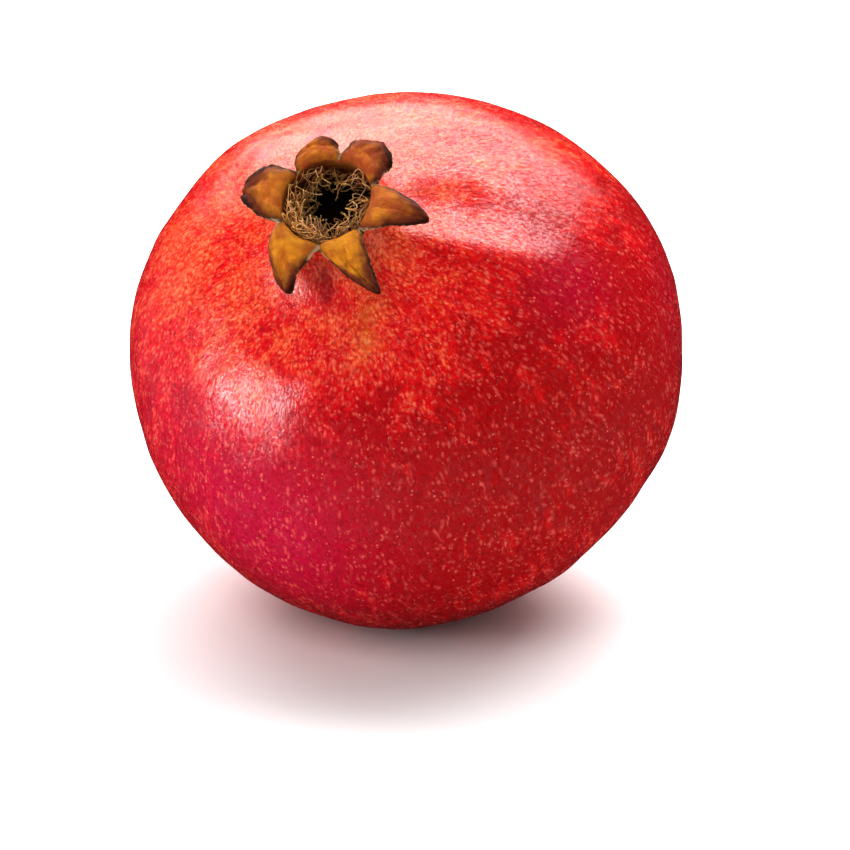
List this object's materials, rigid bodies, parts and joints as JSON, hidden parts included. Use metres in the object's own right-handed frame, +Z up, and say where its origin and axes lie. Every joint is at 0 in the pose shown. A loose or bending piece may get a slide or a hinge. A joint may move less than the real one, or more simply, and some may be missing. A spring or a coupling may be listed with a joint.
{
  "type": "pomegranate",
  "caption": "Whole ripe pomegranate: a round, softly ridged fruit with a short neck, an open dried calyx crown lined with stamens and a clipped stem stub, lying with its crown tipped forward.",
  "frame": {"origin": "centre of the small flat spot that the fruit rests on, at the ground", "axes": "+Z up; the fruit's own axis leans forward, so that the crown faces up and towards -Y and the stem end down and towards +Y; X across"},
  "size_m": [0.1012, 0.0957, 0.0941],
  "materials": {
    "rind": "waxy satin rind, red mottled with orange and pale yellow, fine pale dots",
    "dried_calyx": "dry, wrinkled and leathery, ochre to brown with darker tips",
    "dried_filament": "dull dry fibre, tan to dark brown",
    "bark": "dry rough bark with a paler cut end"
  },
  "bodies": {
    "root": {"fruit": "rind", "calyx_crown": "dried_calyx", "stamens": "dried_filament", "stem_stub": "bark"}
  },
  "joints": []
}
